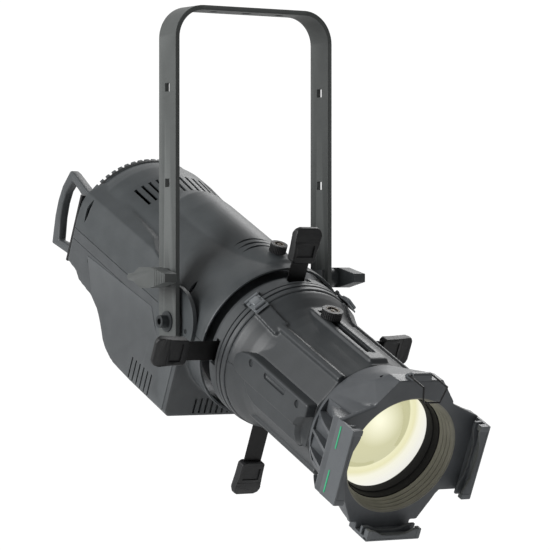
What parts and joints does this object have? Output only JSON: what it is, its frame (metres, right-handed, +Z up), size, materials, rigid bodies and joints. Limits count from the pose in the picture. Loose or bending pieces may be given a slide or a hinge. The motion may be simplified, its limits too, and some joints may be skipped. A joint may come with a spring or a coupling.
{
  "type": "ellipsoidal spotlight",
  "caption": "Stage profile spotlight in a tilting yoke, with shutters, a rotating barrel, a sliding lens tube and a front colour-frame holder.",
  "frame": {"origin": "centre of the clamp hole on the top face of the yoke's cross bar", "axes": "+Z up out of the clamp hole, +X the way the light leaves in plan, -Y the near side with the colour mark"},
  "size_m": [0.7516, 0.382, 0.6553],
  "materials": {
    "yoke_paint": "satin textured powder coat",
    "body_paint": "die-cast, with satin fine-textured paint",
    "black_plastic": "moulded, matt",
    "blade_steel": "heat-blackened stainless sheet",
    "bright_steel": "zinc-plated",
    "catch_metal": "bead-blasted",
    "friction_ring": "matt fibre",
    "bush_bronze": "machined",
    "sink_aluminium": "extruded",
    "led_board": "phosphor and solder mask",
    "lens_glass": "polished",
    "tube_black": "black anodised",
    "mouth_paint": "warm grey paint, ribbed",
    "mark_green": "printed",
    "screen": "tinted window",
    "button_grey": "moulded",
    "socket_blue": "moulded"
  },
  "bodies": {
    "yoke_frame": {"yoke": "yoke_paint", "pivot_bolts": "bright_steel", "pivot_washers": "bright_steel", "friction_washers": "friction_ring", "brake_plates": "bright_steel"},
    "lock_near": {"lock_handle_near": "black_plastic", "lock_stud_near": "bright_steel"},
    "lock_far": {"lock_handle_far": "black_plastic", "lock_stud_far": "bright_steel"},
    "lamp_house": {"upper_shell": "body_paint", "lower_shell": "body_paint", "tilt_plates": "body_paint", "pivot_bushes": "bush_bronze", "side_screws": "bright_steel", "rear_panel": "black_plastic", "rear_handles": "black_plastic", "fin_ring": "body_paint", "display_window": "screen", "power_sockets": "socket_blue", "data_sockets": "bright_steel", "safety_eye": "bright_steel", "heat_sink": "sink_aluminium", "led_engine": "led_board", "collimator": "sink_aluminium", "fan_frame": "black_plastic", "power_supply": "sink_aluminium", "front_bearing": "sink_aluminium"},
    "button_1": {"menu_button_1": "button_grey"},
    "button_2": {"menu_button_2": "button_grey"},
    "button_3": {"menu_button_3": "button_grey"},
    "button_4": {"menu_button_4": "button_grey"},
    "fan": {"fan_rotor": "black_plastic"},
    "barrel_lock": {"barrel_lock_knob": "black_plastic"},
    "barrel": {"gate_housing": "body_paint", "gate_plates": "bright_steel", "shutter_separators": "bright_steel", "barrel_upper": "body_paint", "barrel_lower": "body_paint", "barrel_cover_near": "body_paint", "barrel_cover_far": "body_paint", "latch_pins": "bright_steel", "cover_screws": "bright_steel"},
    "catch_near": {"latch_near": "catch_metal"},
    "catch_far": {"latch_far": "catch_metal"},
    "shutter_top": {"shutter_blade_top": "blade_steel", "shutter_grip_top": "black_plastic"},
    "shutter_near": {"shutter_blade_near": "blade_steel", "shutter_grip_near": "black_plastic"},
    "shutter_bottom": {"shutter_blade_bottom": "blade_steel", "shutter_grip_bottom": "black_plastic"},
    "shutter_far": {"shutter_blade_far": "blade_steel", "shutter_grip_far": "black_plastic"},
    "tube": {"lens_tube": "tube_black", "lens_cell": "tube_black", "rear_lens": "lens_glass", "front_lens": "lens_glass", "gel_holder": "body_paint", "mouth_baffle": "mouth_paint", "label_strip": "mark_green"},
    "focus": {"focus_knob": "black_plastic"},
    "frame_clip": {"gel_clip": "bright_steel"}
  },
  "joints": [
    {"name": "tilt", "type": "hinge", "parent": "yoke_frame", "child": "lamp_house", "pos_m": [0, 0, -0.398], "axis": [0, 1, 0], "range_deg": [-50, 65]},
    {"name": "lock_near_turn", "type": "hinge", "parent": "yoke_frame", "child": "lock_near", "pos_m": [0, -0.1275, -0.343], "axis": [0, 1, 0], "range_deg": [-180, 0]},
    {"name": "lock_far_turn", "type": "hinge", "parent": "yoke_frame", "child": "lock_far", "pos_m": [0, 0.1275, -0.343], "axis": [0, 1, 0], "range_deg": [0, 180]},
    {"name": "button_1_press", "type": "slide", "parent": "lamp_house", "child": "button_1", "axis": [0.9078, 0, -0.4195], "range_m": [0, 0.0015], "stiffness_N_per_m": 300, "springref_m": -0.001},
    {"name": "button_2_press", "type": "slide", "parent": "lamp_house", "child": "button_2", "axis": [0.9078, 0, -0.4195], "range_m": [0, 0.0015], "stiffness_N_per_m": 300, "springref_m": -0.001},
    {"name": "button_3_press", "type": "slide", "parent": "lamp_house", "child": "button_3", "axis": [0.9078, 0, -0.4195], "range_m": [0, 0.0015], "stiffness_N_per_m": 300, "springref_m": -0.001},
    {"name": "button_4_press", "type": "slide", "parent": "lamp_house", "child": "button_4", "axis": [0.9078, 0, -0.4195], "range_m": [0, 0.0015], "stiffness_N_per_m": 300, "springref_m": -0.001},
    {"name": "fan_spin", "type": "hinge", "parent": "lamp_house", "child": "fan", "pos_m": [-0.23965, 0, -0.28726], "axis": [0.9078, 0, -0.4195], "continuous": true},
    {"name": "barrel_lock_turn", "type": "hinge", "parent": "lamp_house", "child": "barrel_lock", "pos_m": [0.07114, 0, -0.3108], "axis": [0.4195, 0, 0.9078], "range_deg": [-180, 0]},
    {"name": "barrel_turn", "type": "hinge", "parent": "lamp_house", "child": "barrel", "pos_m": [0.05447, 0, -0.42317], "axis": [0.9078, 0, -0.4195], "range_deg": [-25, 25]},
    {"name": "shutter_top_slide", "type": "slide", "parent": "barrel", "child": "shutter_top", "axis": [-0.4195, 0, -0.9078], "range_m": [-0.038, 0.01]},
    {"name": "shutter_near_slide", "type": "slide", "parent": "barrel", "child": "shutter_near", "axis": [0, 1, 0], "range_m": [-0.019, 0.029]},
    {"name": "shutter_bottom_slide", "type": "slide", "parent": "barrel", "child": "shutter_bottom", "axis": [0.4195, 0, 0.9078], "range_m": [-0.001, 0.047]},
    {"name": "shutter_far_slide", "type": "slide", "parent": "barrel", "child": "shutter_far", "axis": [0, -1, 0], "range_m": [-0.007, 0.041]},
    {"name": "catch_near_lift", "type": "hinge", "parent": "barrel", "child": "catch_near", "pos_m": [0.1149, -0.06738, -0.36866], "axis": [-0.2807, -0.7431, -0.6074], "range_deg": [0, 60]},
    {"name": "catch_far_lift", "type": "hinge", "parent": "barrel", "child": "catch_far", "pos_m": [0.1149, 0.06738, -0.36866], "axis": [0.2807, -0.7431, 0.6074], "range_deg": [0, 60]},
    {"name": "focus_slide", "type": "slide", "parent": "barrel", "child": "tube", "axis": [0.9078, 0, -0.4195], "range_m": [0, 0.085]},
    {"name": "focus_knob_turn", "type": "hinge", "parent": "tube", "child": "focus", "pos_m": [0.18956, 0, -0.39305], "axis": [0.4195, 0, 0.9078], "range_deg": [-180, 0]},
    {"name": "clip_fold", "type": "hinge", "parent": "tube", "child": "frame_clip", "pos_m": [0.37678, 0, -0.45753], "axis": [0, 1, 0], "range_deg": [-95, 0]}
  ]
}
